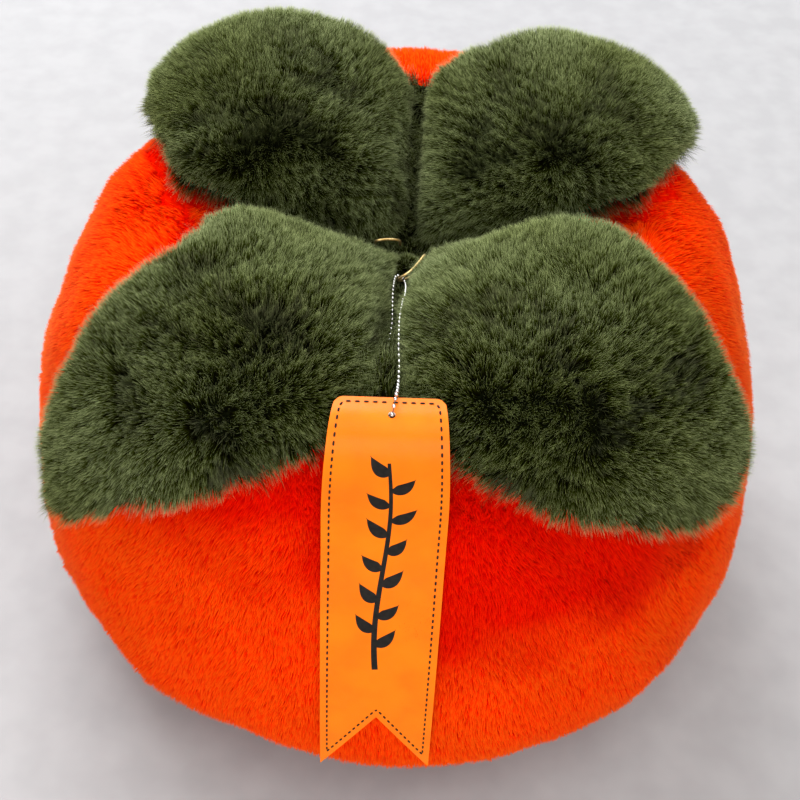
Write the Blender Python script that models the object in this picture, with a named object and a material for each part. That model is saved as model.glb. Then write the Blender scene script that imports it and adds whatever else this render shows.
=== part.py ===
"""A plush persimmon cushion: a full round body pulled in at the crown, four stuffed leaves, one to
each quarter, a small fur pad where they meet, a loop of gold cord, a ball chain that hangs in the
loop, the chain's connector and a swallow-tailed tag on the chain.

The body is a turned form with a crown curve and an underside curve. What lies on it is placed by a
distance along the crown from the axis, an azimuth, and a height off the surface.
"""
import math

import bmesh
import bpy
import numpy as np
from mathutils import Matrix

# Body, with its pile: the crown and the underside are rounded curves about the widest line
BODY_RADIUS = 0.2000
CROWN_HEIGHT = 0.2210
CROWN_FULLNESS = 3.80
CROWN_ROUNDNESS = 1.70
DIMPLE_DEPTH = 0.0800
DIMPLE_RADIUS = 0.1660
UNDERSIDE_DEPTH = 0.0735
UNDERSIDE_FULLNESS = 2.00
UNDERSIDE_ROUNDNESS = 1.92
BASE_DEPTH = 0.0660
OVAL = (0.0210, 0.0090)
THREE_SIDED = (-0.0090, -0.0030)
REAR_RISE = 0.18
FORWARD_SAG = 0.091
SAG_HEIGHT = 0.0840
BOX_CENTRE = (-0.0018, -0.0080)
BODY_SEGMENTS = 48
CROWN_RINGS = 19
UNDERSIDE_RINGS = 9

# Leaves: lengths run along the crown, from the middle of the top
FRONT_SEAM = -94.5
BACK_SEAM = 86.5
LEFT_SEAM = 180.0
RIGHT_SEAM = 0.0
LEAF_INNER = 0.009
LEAF_SEAM_GAP = 0.0012
LEAF_CLEARANCE = 0.0034
LEAF_RIM_LIFT = 0.005
LEAF_DOME = 2.6
LEAF_TOP_RINGS = 6
LEAF_UNDER_RINGS = 3
CORNER_CUTS = 2
FRONT_LEFT_LEAF = {
    "middle_corner": 0.100, "middle_shoulder": (0.118, 0.113), "tip": 0.238,
    "tip_middle": 0.012, "tip_side": 0.026, "side_shoulder": (0.119, 0.036),
    "side_corner": 0.107, "inner_corner": 0.022, "droop_clearance": 0.014, "thickness": 0.031}
FRONT_RIGHT_LEAF = {
    "middle_corner": 0.130, "middle_shoulder": (0.139, 0.099), "tip": 0.220,
    "tip_middle": 0.024, "tip_side": 0.053, "side_shoulder": (0.158, 0.043),
    "side_corner": 0.114, "inner_corner": 0.052, "droop_clearance": 0.008, "thickness": 0.031}
BACK_LEFT_LEAF = {
    "middle_corner": 0.094, "middle_shoulder": (0.087, 0.086), "tip": 0.181,
    "tip_middle": 0.039, "tip_side": 0.046, "side_shoulder": (0.082, 0.091),
    "side_corner": 0.124, "inner_corner": 0.024, "droop_clearance": 0.003, "thickness": 0.035}
BACK_RIGHT_LEAF = {
    "middle_corner": 0.088, "middle_shoulder": (0.089, 0.084), "tip": 0.169,
    "tip_middle": 0.025, "tip_side": 0.058, "side_shoulder": (0.086, 0.087),
    "side_corner": 0.127, "inner_corner": 0.024, "droop_clearance": 0.003, "thickness": 0.033}
SIDE_INNER_CORNER = 0.024

# Fur pad in the pit
PAD_RADIUS = 0.0065
PAD_HEIGHT = 0.0070
PAD_FORWARD = 0.0020
PAD_LIFT = 0.0012
PAD_FLAT_SHARE = 0.35

# Gold cord, ball chain and connector
CORD_DIAMETER = 0.0014
BEAD_DIAMETER = 0.0016
LINK_DIAMETER = 0.0007
BEAD_PITCH = 0.0022
CONNECTOR_DIAMETER = 0.0022
END_GAP = 0.0004

# The cord comes up out of the pit, turns over the front right leaf and hooks round the chain
CORD_ROUTE = (
    (0.0075, -0.0040, 0.2151), (0.0082, -0.0050, 0.2206), (0.0088, -0.0078, 0.2264),
    (0.0090, -0.0117, 0.2309), (0.0083, -0.0152, 0.2331), (0.0061, -0.0186, 0.2324),
    (0.0034, -0.0218, 0.2310), (0.0005, -0.0245, 0.2300), (-0.0022, -0.0252, 0.2284),
    (-0.0034, -0.0244, 0.2258), (-0.0026, -0.0224, 0.2234), (0.0003, -0.0190, 0.2214),
    (0.0028, -0.0155, 0.2198), (0.0048, -0.0120, 0.2181), (0.0058, -0.0095, 0.2166))
CORD_POINTS = 36

# The chain runs from the connector down to the tag's hole, and back up the seam to the connector
CHAIN_ROUTE = (
    (-0.0007, -0.0585, 0.2456), (-0.0015, -0.0684, 0.2500), (-0.0020, -0.0780, 0.2536),
    (-0.0020, -0.0890, 0.2570), (-0.0019, -0.1001, 0.2599), (-0.0014, -0.1120, 0.2614),
    (-0.0015, -0.1240, 0.2646), (-0.0018, -0.1330, 0.2696), (-0.0024, -0.1405, 0.2731),
    (-0.0030, -0.1448, 0.2724), (-0.0035, -0.1460, 0.2696), (-0.0038, -0.1457, 0.2666),
    (-0.0042, -0.1430, 0.2641), (-0.0052, -0.1360, 0.2606), (-0.0062, -0.1240, 0.2546),
    (-0.0070, -0.1120, 0.2490), (-0.0074, -0.1005, 0.2457), (-0.0071, -0.0900, 0.2436),
    (-0.0061, -0.0790, 0.2429), (-0.0055, -0.0680, 0.2414), (-0.0056, -0.0575, 0.2390),
    (-0.0058, -0.0470, 0.2363), (-0.0057, -0.0374, 0.2336), (-0.0055, -0.0296, 0.2299),
    (-0.0048, -0.0234, 0.2268), (-0.0034, -0.0208, 0.2250), (-0.0016, -0.0218, 0.2248),
    (-0.0004, -0.0262, 0.2263), (0.0003, -0.0335, 0.2302), (0.0002, -0.0430, 0.2364),
    (-0.0001, -0.0528, 0.2423))

# Tag: its middle line falls from the seam over the front of the body, in depth and height
TAG_WIDTH = 0.053
TAG_TOP_WIDTH = 0.044
TAG_FLARE = 0.070
TAG_THICKNESS = 0.0012
TAG_CORNER = 0.007
TAG_NOTCH = 0.038
TAG_HOLE_DIAMETER = 0.0034
TAG_HOLE_INSET = 0.0100
TAG_TOP_X = -0.0045
TAG_FOOT_X = -0.0075
TAG_FALL = (
    (-0.1360, 0.2681), (-0.1450, 0.2694), (-0.1525, 0.2668), (-0.1575, 0.2600),
    (-0.1605, 0.2490), (-0.1627, 0.2340), (-0.1655, 0.2170), (-0.1706, 0.1990),
    (-0.1778, 0.1790), (-0.1848, 0.1565), (-0.1918, 0.1330), (-0.1985, 0.1060),
    (-0.2028, 0.0850), (-0.2050, 0.0710))
TAG_COLUMNS = 6
TAG_ROWS = 20


def clear_scene():
    """Remove whatever the file opened with."""
    for item in list(bpy.data.objects):
        bpy.data.objects.remove(item, do_unlink=True)


def crown_curve(count):
    """Radius and height from the axis out to the widest line, dimpled at the middle."""
    turn = np.linspace(math.pi / 2, 0.0, count)
    radius = np.abs(np.cos(turn)) ** (2 / CROWN_FULLNESS)
    radius[0] = 0.0
    height = CROWN_HEIGHT * np.sin(turn) ** (2 / CROWN_ROUNDNESS)
    inside = np.clip(1 - (radius * BODY_RADIUS / DIMPLE_RADIUS) ** 2, 0, 1)
    return radius * BODY_RADIUS, height - DIMPLE_DEPTH * inside ** 2


def underside_curve(count):
    """Radius and height from the widest line down to where the curve meets the floor."""
    flat = math.asin((BASE_DEPTH / UNDERSIDE_DEPTH) ** (UNDERSIDE_ROUNDNESS / 2))
    turn = np.linspace(0.0, flat, count)
    radius = BODY_RADIUS * np.cos(turn) ** (2 / UNDERSIDE_FULLNESS)
    return radius, -UNDERSIDE_DEPTH * np.sin(turn) ** (2 / UNDERSIDE_ROUNDNESS)


CURVE_POINTS = 240
FINE_RADIUS, FINE_HEIGHT = (
    np.concatenate([crown, below[1:]])
    for crown, below in zip(crown_curve(CURVE_POINTS), underside_curve(CURVE_POINTS)))
FINE_LENGTH = np.concatenate(
    [[0.0], np.cumsum(np.hypot(np.diff(FINE_RADIUS), np.diff(FINE_HEIGHT)))])
WIDEST_LENGTH = FINE_LENGTH[CURVE_POINTS - 1]


def out_of_round(azimuth):
    """How far the stuffed body departs from a true circle, by azimuth."""
    return (1 + OVAL[0] * np.cos(2 * azimuth) + OVAL[1] * np.sin(2 * azimuth)
            + THREE_SIDED[0] * np.cos(3 * azimuth) + THREE_SIDED[1] * np.sin(3 * azimuth))


def body_point(length, azimuth):
    """A point of the body, a distance along the turned curve from the middle of the top."""
    radius = np.interp(length, FINE_LENGTH, FINE_RADIUS) * out_of_round(azimuth)
    height = np.interp(length, FINE_LENGTH, FINE_HEIGHT)
    x = radius * np.cos(azimuth)
    y = radius * np.sin(azimuth)
    height = np.where(height > 0, height * (1 + REAR_RISE * y), height)
    y = y - FORWARD_SAG * np.clip(SAG_HEIGHT - height, 0, None)
    return np.stack([x, y, height + BASE_DEPTH], -1)


def body_normal(length, azimuth):
    """The direction straight out of the body at that point."""
    step = 0.003
    turn = 0.02
    far = np.maximum(length, step)
    along = body_point(length + step, azimuth) - body_point(np.maximum(length - step, 0), azimuth)
    across = body_point(far, azimuth + turn) - body_point(far, azimuth - turn)
    normal = np.cross(along, across)
    return normal / np.linalg.norm(normal, axis=-1, keepdims=True)


def off_body(length, azimuth, height):
    """A point a given height off the body."""
    length, azimuth, height = np.broadcast_arrays(
        np.asarray(length, float), np.asarray(azimuth, float), np.asarray(height, float))
    return body_point(length, azimuth) + body_normal(length, azimuth) * height[..., None]


def material(name, colour, roughness, metallic=0.0):
    """A plain Principled material from an sRGB colour."""
    made = bpy.data.materials.new(name)
    made.use_nodes = True
    shader = made.node_tree.nodes["Principled BSDF"]
    linear = [((c / 255 + 0.055) / 1.055) ** 2.4 if c > 10 else c / 255 / 12.92 for c in colour]
    shader.inputs["Base Color"].default_value = (*linear, 1.0)
    shader.inputs["Roughness"].default_value = roughness
    shader.inputs["Metallic"].default_value = metallic
    return made


def add_object(name, points, faces, finish, sharp_angle=None):
    """Make a mesh object with its faces pointing out."""
    mesh = bpy.data.meshes.new(name)
    mesh.from_pydata([tuple(point) for point in points], [], faces)
    work = bmesh.new()
    work.from_mesh(mesh)
    bmesh.ops.triangulate(work, faces=[face for face in work.faces if len(face.verts) > 3])
    bmesh.ops.recalc_face_normals(work, faces=work.faces)
    work.to_mesh(mesh)
    work.free()
    mesh.shade_smooth()
    if sharp_angle:
        mesh.set_sharp_from_angle(angle=sharp_angle)
    mesh.materials.append(finish)
    made = bpy.data.objects.new(name, mesh)
    bpy.context.scene.collection.objects.link(made)
    return made


def ring_faces(rings, around, start_pole, end_pole, first=0):
    """Quads between closed rings, with a fan to a pole at each end where one is given."""
    faces = []
    for ring in range(rings - 1):
        for step in range(around):
            here = first + ring * around + step
            beside = first + ring * around + (step + 1) % around
            faces.append((here, beside, beside + around, here + around))
    for step in range(around):
        after = (step + 1) % around
        last = first + (rings - 1) * around
        if start_pole is not None:
            faces.append((start_pole, first + after, first + step))
        if end_pole is not None:
            faces.append((end_pole, last + step, last + after))
    return faces


def make_body(finish):
    """The stuffed body, standing on the small flat spot that its weight presses."""
    azimuth = np.linspace(0, 2 * math.pi, BODY_SEGMENTS, endpoint=False)
    lengths = np.concatenate([
        np.linspace(0, WIDEST_LENGTH, CROWN_RINGS + 1)[1:],
        np.linspace(WIDEST_LENGTH, FINE_LENGTH[-1], UNDERSIDE_RINGS + 1)[1:]])
    rings = [body_point(np.full(BODY_SEGMENTS, length), azimuth) for length in lengths]
    top = body_point(np.array([0.0]), np.array([0.0]))
    points = np.concatenate([top] + rings)
    points[-BODY_SEGMENTS:, 2] = 0.0
    faces = ring_faces(len(rings), BODY_SEGMENTS, 0, None, first=1)
    faces.append(tuple(range(len(points) - BODY_SEGMENTS, len(points))))
    return add_object("body", points, faces, finish, math.radians(40))


def cut_corners(points, times):
    """Round a closed outline by cutting a quarter off each side at every corner."""
    for _ in range(times):
        after = np.roll(points, -1, 0)
        near = points * 0.75 + after * 0.25
        far = points * 0.25 + after * 0.75
        points = np.stack([near, far], 1).reshape(-1, 2)
    return points


def leaf_outline(leaf, half_angle):
    """The leaf laid flat: a kite with its inner corner at the pit and a blunt tip.

    The first coordinate runs from the pit to the tip, the second towards the seam that the leaf
    shares across the cushion's middle line.
    """
    seam = np.array([math.cos(half_angle), math.sin(half_angle)])
    inward = np.array([seam[1], -seam[0]]) * LEAF_SEAM_GAP
    flip = np.array([1, -1])
    middle = [seam * leaf["inner_corner"] + inward, seam * leaf["middle_corner"] + inward]
    side = [seam * leaf["side_corner"] + inward, seam * SIDE_INNER_CORNER + inward]
    shoulder = np.array(leaf["side_shoulder"])
    outline = [np.array([LEAF_INNER, 0.0]), *middle, np.array(leaf["middle_shoulder"]),
               np.array([leaf["tip"], leaf["tip_middle"]]),
               np.array([leaf["tip"], -leaf["tip_side"]]), shoulder * flip,
               side[0] * flip, side[1] * flip]
    return cut_corners(np.array(outline), CORNER_CUTS)


def leaf_height(leaf, reach, share, top):
    """Height off the body at a share of the way from the leaf's middle to its rim."""
    along = np.clip(reach / leaf["tip"], 0, 1.2)
    under = LEAF_CLEARANCE + leaf["droop_clearance"] * along ** 3 + LEAF_RIM_LIFT * share ** 4
    if not top:
        return under
    room = leaf["thickness"] - LEAF_RIM_LIFT * share ** 4
    return under + room * math.sqrt(max(1 - share ** LEAF_DOME, 0))


def make_leaf(name, leaf, middle_seam, side_seam, finish):
    """One stuffed leaf, domed on top, its underside following the body."""
    axis = math.radians((middle_seam + side_seam) / 2)
    half_angle = math.radians(abs(middle_seam - side_seam) / 2)
    turn = 1 if middle_seam > side_seam else -1
    flat = leaf_outline(leaf, half_angle) * np.array([1, turn])
    centre = flat.mean(0)
    around = len(flat)
    top_shares = np.linspace(0, 1, LEAF_TOP_RINGS + 1)[1:] ** 0.7
    under_shares = np.linspace(1, 0, LEAF_UNDER_RINGS + 1)[1:-1]
    levels = [(share, True) for share in top_shares] + [(share, False) for share in under_shares]

    def place(spread, share, top):
        height = leaf_height(leaf, spread[:, 0], share, top)
        azimuth = axis + np.arctan2(spread[:, 1], spread[:, 0])
        return off_body(np.hypot(spread[:, 0], spread[:, 1]), azimuth, height)

    rings = [place(centre + (flat - centre) * share, share, top) for share, top in levels]
    poles = [place(centre[None], 0.0, True), place(centre[None], 0.0, False)]
    points = np.concatenate([poles[0]] + rings + [poles[1]])
    faces = ring_faces(len(rings), around, 0, len(points) - 1, first=1)
    return add_object(name, points, faces, finish, math.radians(60))


def make_pad(finish):
    """The fur pad sewn over the middle of the pit."""
    work = bmesh.new()
    bmesh.ops.create_uvsphere(work, u_segments=16, v_segments=10, radius=1.0)
    foot = body_point(np.array([0.0]), np.array([0.0]))[0]
    middle = foot[2] + PAD_LIFT + PAD_FLAT_SHARE * PAD_HEIGHT
    for vertex in work.verts:
        x, y, z = vertex.co
        vertex.co = (x * PAD_RADIUS, y * PAD_RADIUS - PAD_FORWARD,
                     middle + max(z, -PAD_FLAT_SHARE) * PAD_HEIGHT)
    mesh = bpy.data.meshes.new("centre_pad")
    work.to_mesh(mesh)
    work.free()
    mesh.shade_smooth()
    mesh.materials.append(finish)
    made = bpy.data.objects.new("centre_pad", mesh)
    bpy.context.scene.collection.objects.link(made)
    return made


def smooth_path(points, count):
    """A smooth curve through hand-set points, read off at even distances."""
    points = np.array(points, float)
    ends = np.vstack([2 * points[0] - points[1], points, 2 * points[-1] - points[-2]])
    fine = []
    for before, here, after, beyond in zip(ends, ends[1:], ends[2:], ends[3:]):
        for t in np.linspace(0, 1, 24, endpoint=False):
            fine.append(0.5 * (2 * here + (after - before) * t
                               + (2 * before - 5 * here + 4 * after - beyond) * t ** 2
                               + (3 * here - before - 3 * after + beyond) * t ** 3))
    fine = np.array(fine + [points[-1]])
    run = np.concatenate([[0.0], np.cumsum(np.linalg.norm(np.diff(fine, axis=0), axis=1))])
    wanted = np.linspace(0, run[-1], count)
    return np.stack([np.interp(wanted, run, fine[:, axis]) for axis in range(3)], -1), run[-1]


def make_cord(name, path, diameter, finish):
    """A round cord with closed ends along a path."""
    curve = bpy.data.curves.new(name, "CURVE")
    curve.dimensions = "3D"
    curve.bevel_depth = diameter / 2
    curve.bevel_resolution = 2
    curve.use_fill_caps = True
    spline = curve.splines.new("POLY")
    spline.points.add(len(path) - 1)
    for point, place in zip(spline.points, path):
        point.co = (*place, 1.0)
    curve.materials.append(finish)
    made = bpy.data.objects.new(name, curve)
    bpy.context.scene.collection.objects.link(made)
    return made


def sweep(name, path, radii, sides, finish):
    """A closed round body of changing radius along a path."""
    forward = np.gradient(path, axis=0)
    forward /= np.linalg.norm(forward, axis=1, keepdims=True)
    side = np.cross(forward[0], (0.0, 0.0, 1.0))
    side /= np.linalg.norm(side)
    rings = []
    angles = np.linspace(0, 2 * math.pi, sides, endpoint=False)
    for place, ahead, radius in zip(path, forward, radii):
        side = side - ahead * np.dot(side, ahead)
        side /= np.linalg.norm(side)
        other = np.cross(ahead, side)
        rings.append(place + radius * (np.outer(np.cos(angles), side)
                                       + np.outer(np.sin(angles), other)))
    points = np.concatenate([path[:1]] + rings + [path[-1:]])
    faces = ring_faces(len(rings), sides, 0, len(points) - 1, first=1)
    return add_object(name, points, faces, finish)


def tag_station(run, total):
    """Width of the tag, and its sideways place, a distance down from its top edge."""
    flare = min(run / TAG_FLARE, 1.0)
    width = TAG_TOP_WIDTH + (TAG_WIDTH - TAG_TOP_WIDTH) * flare * (2 - flare)
    return width, TAG_TOP_X + (TAG_FOOT_X - TAG_TOP_X) * run / total


def make_tag(finish):
    """The tag: a thin sheet with rounded top corners, a hole and a swallow tail."""
    line = np.array([(0.0, *place) for place in TAG_FALL])
    fine, total = smooth_path(line, 200)
    runs = np.linspace(0, total, len(fine))
    forward = np.gradient(fine, axis=0)
    outward = np.stack([np.zeros(len(fine)), forward[:, 2], -forward[:, 1]], -1)
    outward /= np.linalg.norm(outward, axis=1, keepdims=True)
    points = []
    for side in (0.5, -0.5):
        for row in range(TAG_ROWS + 1):
            for column in range(TAG_COLUMNS + 1):
                across = column / TAG_COLUMNS * 2 - 1
                corner = max(TAG_CORNER - (1 - abs(across)) * TAG_TOP_WIDTH / 2, 0.0)
                start = TAG_CORNER - math.sqrt(TAG_CORNER ** 2 - corner ** 2)
                end = total - TAG_NOTCH * (1 - abs(across))
                run = start + (end - start) * row / TAG_ROWS
                wide, middle = tag_station(run, total)
                place = np.array([np.interp(run, runs, fine[:, axis]) for axis in range(3)])
                face = np.array([np.interp(run, runs, outward[:, axis]) for axis in range(3)])
                place = place + face * TAG_THICKNESS * side
                place[0] = middle + across * wide / 2
                points.append(place)
    across_count = TAG_COLUMNS + 1
    layer = across_count * (TAG_ROWS + 1)
    faces = []
    for row in range(TAG_ROWS):
        for column in range(TAG_COLUMNS):
            here = row * across_count + column
            front = (here, here + 1, here + 1 + across_count, here + across_count)
            faces += [front, tuple(layer + point for point in reversed(front))]
    edge = list(range(TAG_COLUMNS))
    edge += [row * across_count + TAG_COLUMNS for row in range(TAG_ROWS)]
    edge += [TAG_ROWS * across_count + column for column in range(TAG_COLUMNS, 0, -1)]
    edge += [row * across_count for row in range(TAG_ROWS, 0, -1)]
    for here, after in zip(edge, edge[1:] + edge[:1]):
        faces.append((here, after, layer + after, layer + here))
    tag = add_object("tag", points, faces, finish, math.radians(40))
    hole = np.array([np.interp(TAG_HOLE_INSET, runs, fine[:, axis]) for axis in range(3)])
    bpy.ops.mesh.primitive_cylinder_add(
        vertices=20, radius=TAG_HOLE_DIAMETER / 2, depth=TAG_HOLE_DIAMETER * 3,
        location=(tag_station(TAG_HOLE_INSET, total)[1] + 0.001, hole[1], hole[2]))
    cutter = bpy.context.object
    cutter.name = "tag_hole_cutter"
    cutter.hide_render = True
    cutter.display_type = "WIRE"
    cut = tag.modifiers.new("hole", "BOOLEAN")
    cut.operation = "DIFFERENCE"
    cut.solver = "EXACT"
    cut.object = cutter
    return tag


def make_chain(finish):
    """The ball chain, its beads and the wire between them as one swept body."""
    route, run = smooth_path(CHAIN_ROUTE, 400)
    beads = round(run / BEAD_PITCH)
    stations = np.linspace(0, run, 2 * beads + 1)
    runs = np.linspace(0, run, len(route))
    path = np.stack([np.interp(stations, runs, route[:, axis]) for axis in range(3)], -1)
    radii = np.where(np.arange(len(path)) % 2 == 1, BEAD_DIAMETER / 2, LINK_DIAMETER / 2)
    return sweep("ball_chain", path, radii, 5, finish)


def make_connector(finish):
    """The small barrel that closes the chain."""
    top = np.array(CHAIN_ROUTE[-1])
    foot = np.array(CHAIN_ROUTE[0])
    along = (foot - top) / np.linalg.norm(foot - top)
    start = top + along * END_GAP
    length = np.linalg.norm(foot - top) - 2 * END_GAP
    stations = (0.0, 0.12, 0.5, 0.88, 1.0)
    path = np.array([start + along * length * share for share in stations])
    radii = np.array([0.7, 1.0, 0.86, 1.0, 0.7]) * CONNECTOR_DIAMETER / 2
    return sweep("chain_connector", path, radii, 10, finish)


def main():
    clear_scene()
    plush = material("orange_plush", (240, 70, 10), 0.9)
    fur = material("green_fur", (58, 70, 38), 0.95)
    make_body(plush)
    leaves = (("leaf_front_left", FRONT_LEFT_LEAF, FRONT_SEAM, -LEFT_SEAM),
              ("leaf_front_right", FRONT_RIGHT_LEAF, FRONT_SEAM, RIGHT_SEAM),
              ("leaf_back_right", BACK_RIGHT_LEAF, BACK_SEAM, RIGHT_SEAM),
              ("leaf_back_left", BACK_LEFT_LEAF, BACK_SEAM, LEFT_SEAM))
    for name, leaf, middle_seam, side_seam in leaves:
        make_leaf(name, leaf, middle_seam, side_seam, fur)
    make_pad(fur)
    make_cord("gold_cord", smooth_path(CORD_ROUTE, CORD_POINTS)[0], CORD_DIAMETER,
              material("gold_thread", (214, 176, 110), 0.4, 0.6))
    steel = material("bright_steel", (200, 200, 198), 0.25, 1.0)
    make_chain(steel)
    make_connector(steel)
    make_tag(material("orange_leather", (247, 137, 26), 0.45))
    to_centre = Matrix.Translation((-BOX_CENTRE[0], -BOX_CENTRE[1], 0.0))
    for item in bpy.data.objects:
        item.data.transform(to_centre)


main()
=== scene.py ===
"""A plush persimmon cushion: orange short-pile body, four leaves of green faux fur, and a
swallow-tailed faux leather tag on a ball chain, hung from a loop of gold cord.

The stuffed forms start from the frame's solids, drawn in by the height of their pile. The pile
itself is mesh: thin blades, rooted at random by area, that rise from the skin and lean as combed.
"""

import math

import bmesh
import bpy
import numpy as np
from mathutils import Matrix, Vector
from mathutils.bvhtree import BVHTree


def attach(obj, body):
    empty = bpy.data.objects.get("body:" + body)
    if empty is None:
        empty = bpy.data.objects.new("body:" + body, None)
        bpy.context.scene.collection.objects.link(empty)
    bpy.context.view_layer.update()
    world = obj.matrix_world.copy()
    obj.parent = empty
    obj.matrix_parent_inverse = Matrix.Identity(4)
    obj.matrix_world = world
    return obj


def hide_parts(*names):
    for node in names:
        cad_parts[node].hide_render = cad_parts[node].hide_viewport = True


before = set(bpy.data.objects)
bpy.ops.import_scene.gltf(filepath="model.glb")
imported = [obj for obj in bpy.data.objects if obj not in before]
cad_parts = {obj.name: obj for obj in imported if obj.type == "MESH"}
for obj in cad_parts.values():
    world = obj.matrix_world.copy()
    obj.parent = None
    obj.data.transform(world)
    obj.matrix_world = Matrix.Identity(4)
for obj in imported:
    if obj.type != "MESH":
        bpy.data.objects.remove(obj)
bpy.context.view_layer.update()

# Where the camera stands, as the photograph has it
CAMERA_DISTANCE = 0.69185
CAMERA_ELEVATION = 51.0
CAMERA_FIELD = 38.0
CAMERA_AIM = (-0.0721, 0.9154)
CAMERA_ROLL = 1.9269
LOOKED_AT = (0.0018, 0.0080, 0.0876)

# Stuffed forms: how far each skin lies inside its fur, and how the filling swells a leaf
LEAF_NAMES = ("leaf_front_left", "leaf_front_right", "leaf_back_left", "leaf_back_right")
LEAF_DRAW_IN = 0.987
LEAF_VOXEL = 0.005
LEAF_INSET = 0.0045
LEAF_INSET_SHARE = 0.3
LEAF_SWELL = 0.0020
FILLING_PRESSURE = 4.0
FILLING_FRAMES = 20
BODY_INSET = 0.0024
CROWN_HEIGHT = 0.15
PAD_INSET = 0.002

# Green base on the crown between the leaves: its reach, rings and spokes
BASE_RADIUS = 0.085
BASE_LOBE = 0.68
BASE_RINGS = 30
BASE_SPOKES = 60
BASE_RISE = 0.0008
BASE_DEPTH = 0.0030
BASE_FRONT_LIFT = 0.007

# Piles. Real fibres are far finer than these blades: they are as coarse as the picture needs.
# Each gives a blade's length, its width at the root and how deep it is sunk, in metres; how much
# it bends over, strays and turns; its joints; and how far its shading follows the skin. WHORL
# is where a leaf's fur parts, from its middle; STANDING_SHADE_LEFT and _RIGHT are how low the
# nap stands on end, at each side of the tag, in a zone painted a deeper red, a painted shade.
LEAF_STRANDS = 106000
LEAF_PILE = {"length": 0.0098, "width": 0.0004, "sink": 0.0006, "bend": 0.15, "stray": 0.10,
             "twist": 0.5, "joints": 1, "soft": 0.6}
WHORL_FRONT, WHORL_REAR = (0, -0.028, -0.010), (0, -0.012, 0.0)
BODY_STRANDS = 107500
BODY_PARTS = 4
BODY_PILE = {"length": 0.0056, "width": 0.00085, "sink": 0.0006, "bend": 0.25, "stray": 0.10,
             "twist": 0.4, "joints": 1, "soft": 0.9}
# How low the standing zone reaches, left and right: its deeper red is a painted shade
STANDING_SHADE_LEFT, STANDING_SHADE_RIGHT = 0.160, 0.117
BASE_STRANDS = 20000
BASE_PILE = {"length": 0.0120, "width": 0.0006, "sink": 0.0004, "bend": 0.1, "stray": 0.2,
             "twist": 0.5, "joints": 1, "soft": 0.6}
PIT_PILE_LENGTH = 0.0065
PAD_STRANDS = 2600
PAD_PILE = {"length": 0.0055, "width": 0.0005, "sink": 0.0004, "bend": 0.1, "stray": 0.2,
            "twist": 0.5, "joints": 2, "soft": 0.5}
PRESSED_GAP = 0.012
CHAIN_CLEAR, CHAIN_PAST = 0.0035, 0.0075

# Gold cord, ball chain, connector
SHIFT = (0.0018, 0.0080, 0.0)
CORD_DIAMETER = 0.0014
CORD_LAY = 0.0032
CORD_ROUTE = (
    (0.0075, -0.0040, 0.2151), (0.0082, -0.0050, 0.2206), (0.0088, -0.0078, 0.2264),
    (0.0090, -0.0117, 0.2309), (0.0083, -0.0152, 0.2331), (0.0061, -0.0186, 0.2324),
    (0.0034, -0.0218, 0.2310), (0.0005, -0.0245, 0.2300), (-0.0022, -0.0252, 0.2284),
    (-0.0034, -0.0244, 0.2258), (-0.0026, -0.0224, 0.2234), (0.0003, -0.0190, 0.2214),
    (0.0028, -0.0155, 0.2198), (0.0048, -0.0120, 0.2181), (0.0058, -0.0095, 0.2166))
CORD_FAR_ROUTE = (
    (-0.0160, 0.0065, 0.2200), (-0.0158, 0.0020, 0.2262), (-0.0146, -0.0020, 0.2308),
    (-0.0095, -0.0006, 0.2306), (-0.0046, 0.0010, 0.2288), (-0.0034, 0.0050, 0.2238),
    (-0.0034, 0.0090, 0.2185))
BEAD_DIAMETER = 0.0018
LINK_DIAMETER = 0.0004
BEAD_PITCH = 0.0037
CONNECTOR_DIAMETER = 0.0022
END_GAP = 0.0004
BALL_RINGS = 7
BALL_SPOKES = 12
CHAIN_ROUTE = (
    (-0.0007, -0.0585, 0.2456), (-0.0015, -0.0684, 0.2500), (-0.0020, -0.0780, 0.2536),
    (-0.0020, -0.0890, 0.2570), (-0.0019, -0.1001, 0.2599), (-0.0014, -0.1120, 0.2614),
    (-0.0015, -0.1240, 0.2646), (-0.0018, -0.1330, 0.2696), (-0.0024, -0.1405, 0.2731),
    (-0.0030, -0.1448, 0.2724), (-0.0035, -0.1460, 0.2696), (-0.0038, -0.1457, 0.2666),
    (-0.0042, -0.1430, 0.2641), (-0.0052, -0.1360, 0.2606), (-0.0062, -0.1240, 0.2546),
    (-0.0070, -0.1120, 0.2490), (-0.0074, -0.1005, 0.2457), (-0.0071, -0.0900, 0.2436),
    (-0.0061, -0.0790, 0.2429), (-0.0055, -0.0680, 0.2414), (-0.0056, -0.0575, 0.2390),
    (-0.0058, -0.0470, 0.2363), (-0.0057, -0.0374, 0.2336), (-0.0055, -0.0296, 0.2299),
    (-0.0048, -0.0234, 0.2268), (-0.0034, -0.0208, 0.2250), (-0.0016, -0.0218, 0.2248),
    (-0.0004, -0.0262, 0.2263), (0.0003, -0.0335, 0.2302), (0.0002, -0.0430, 0.2364),
    (-0.0001, -0.0528, 0.2423))

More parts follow.
